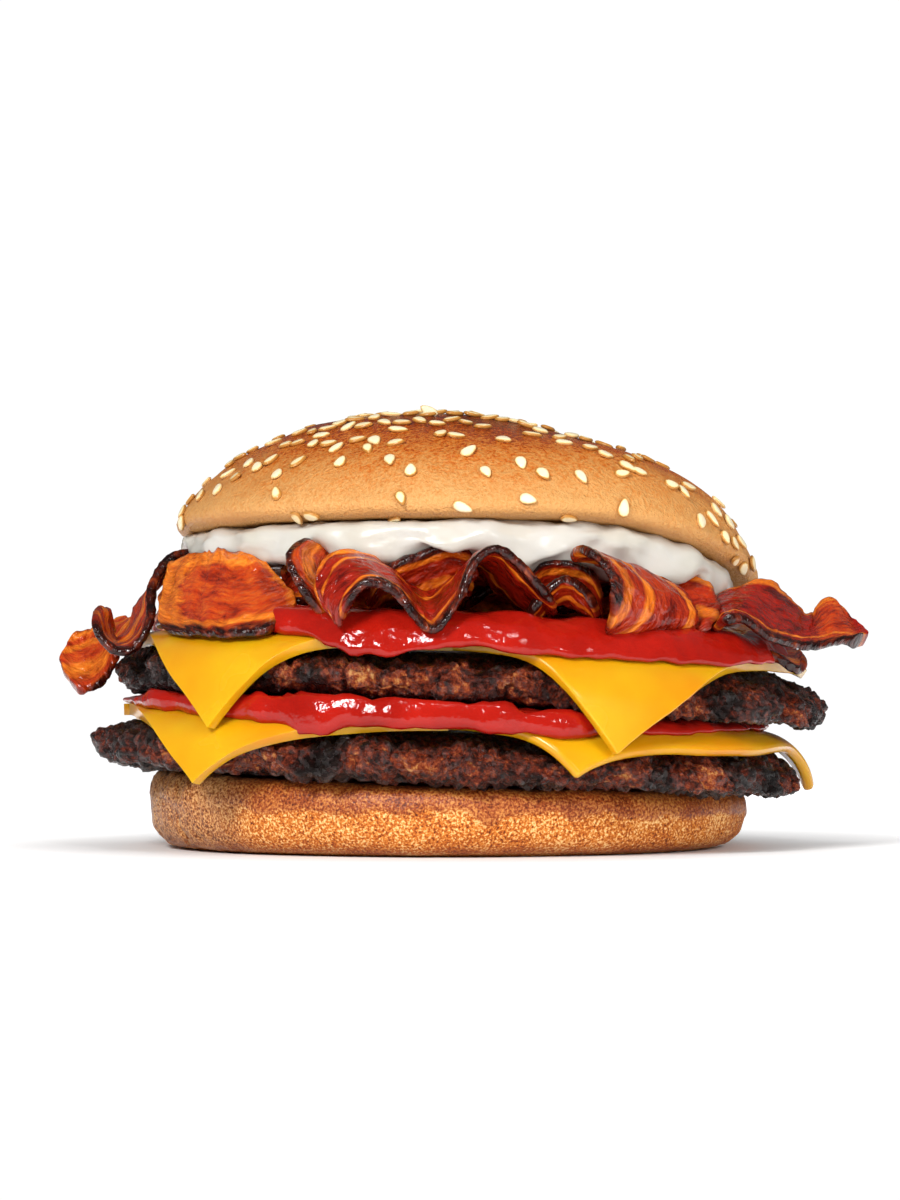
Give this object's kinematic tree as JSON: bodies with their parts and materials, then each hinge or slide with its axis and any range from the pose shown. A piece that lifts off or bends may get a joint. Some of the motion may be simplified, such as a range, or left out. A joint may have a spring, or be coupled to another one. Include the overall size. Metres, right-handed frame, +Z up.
{
  "type": "double bacon cheeseburger",
  "caption": "Sesame bun burger with stacked grilled patties, melted cheese corners, ketchup, ruffled bacon and mayonnaise, leaning slightly to its right.",
  "frame": {"origin": "centre of the flat resting face of the bottom bun", "axes": "+Z up, -Y towards the side that the corners of cheese and the open mayonnaise face, +X to the right of a viewer in front of that side"},
  "size_m": [0.1558, 0.1343, 0.0839],
  "materials": {
    "toasted_crust": "soft sheen on a browned bread crust",
    "grilled_beef": "rough charred meat with glossy fat specks",
    "melted_cheese": "satin, smooth, softly glossy",
    "ketchup": "wet gloss",
    "fried_bacon": "oily sheen with dark crisp edges",
    "mayonnaise": "smooth wet gloss"
  },
  "bodies": {
    "root": {"bun_heel": "toasted_crust", "bun_crown": "toasted_crust", "patty_lower": "grilled_beef", "patty_upper": "grilled_beef", "cheese_lower_left": "melted_cheese", "cheese_lower_right": "melted_cheese", "cheese_lower_back": "melted_cheese", "cheese_upper_left": "melted_cheese", "cheese_upper_right": "melted_cheese", "cheese_upper_back": "melted_cheese", "ketchup_lower": "ketchup", "ketchup_upper": "ketchup", "bacon_front_wave": "fried_bacon", "bacon_front_tongue": "fried_bacon", "bacon_front_arch": "fried_bacon", "bacon_left_slice": "fried_bacon", "bacon_left_curl": "fried_bacon", "bacon_left_flap": "fried_bacon", "bacon_right_curl": "fried_bacon", "bacon_right_flap": "fried_bacon", "bacon_back_left": "fried_bacon", "bacon_back_right": "fried_bacon", "mayonnaise": "mayonnaise"}
  },
  "joints": []
}
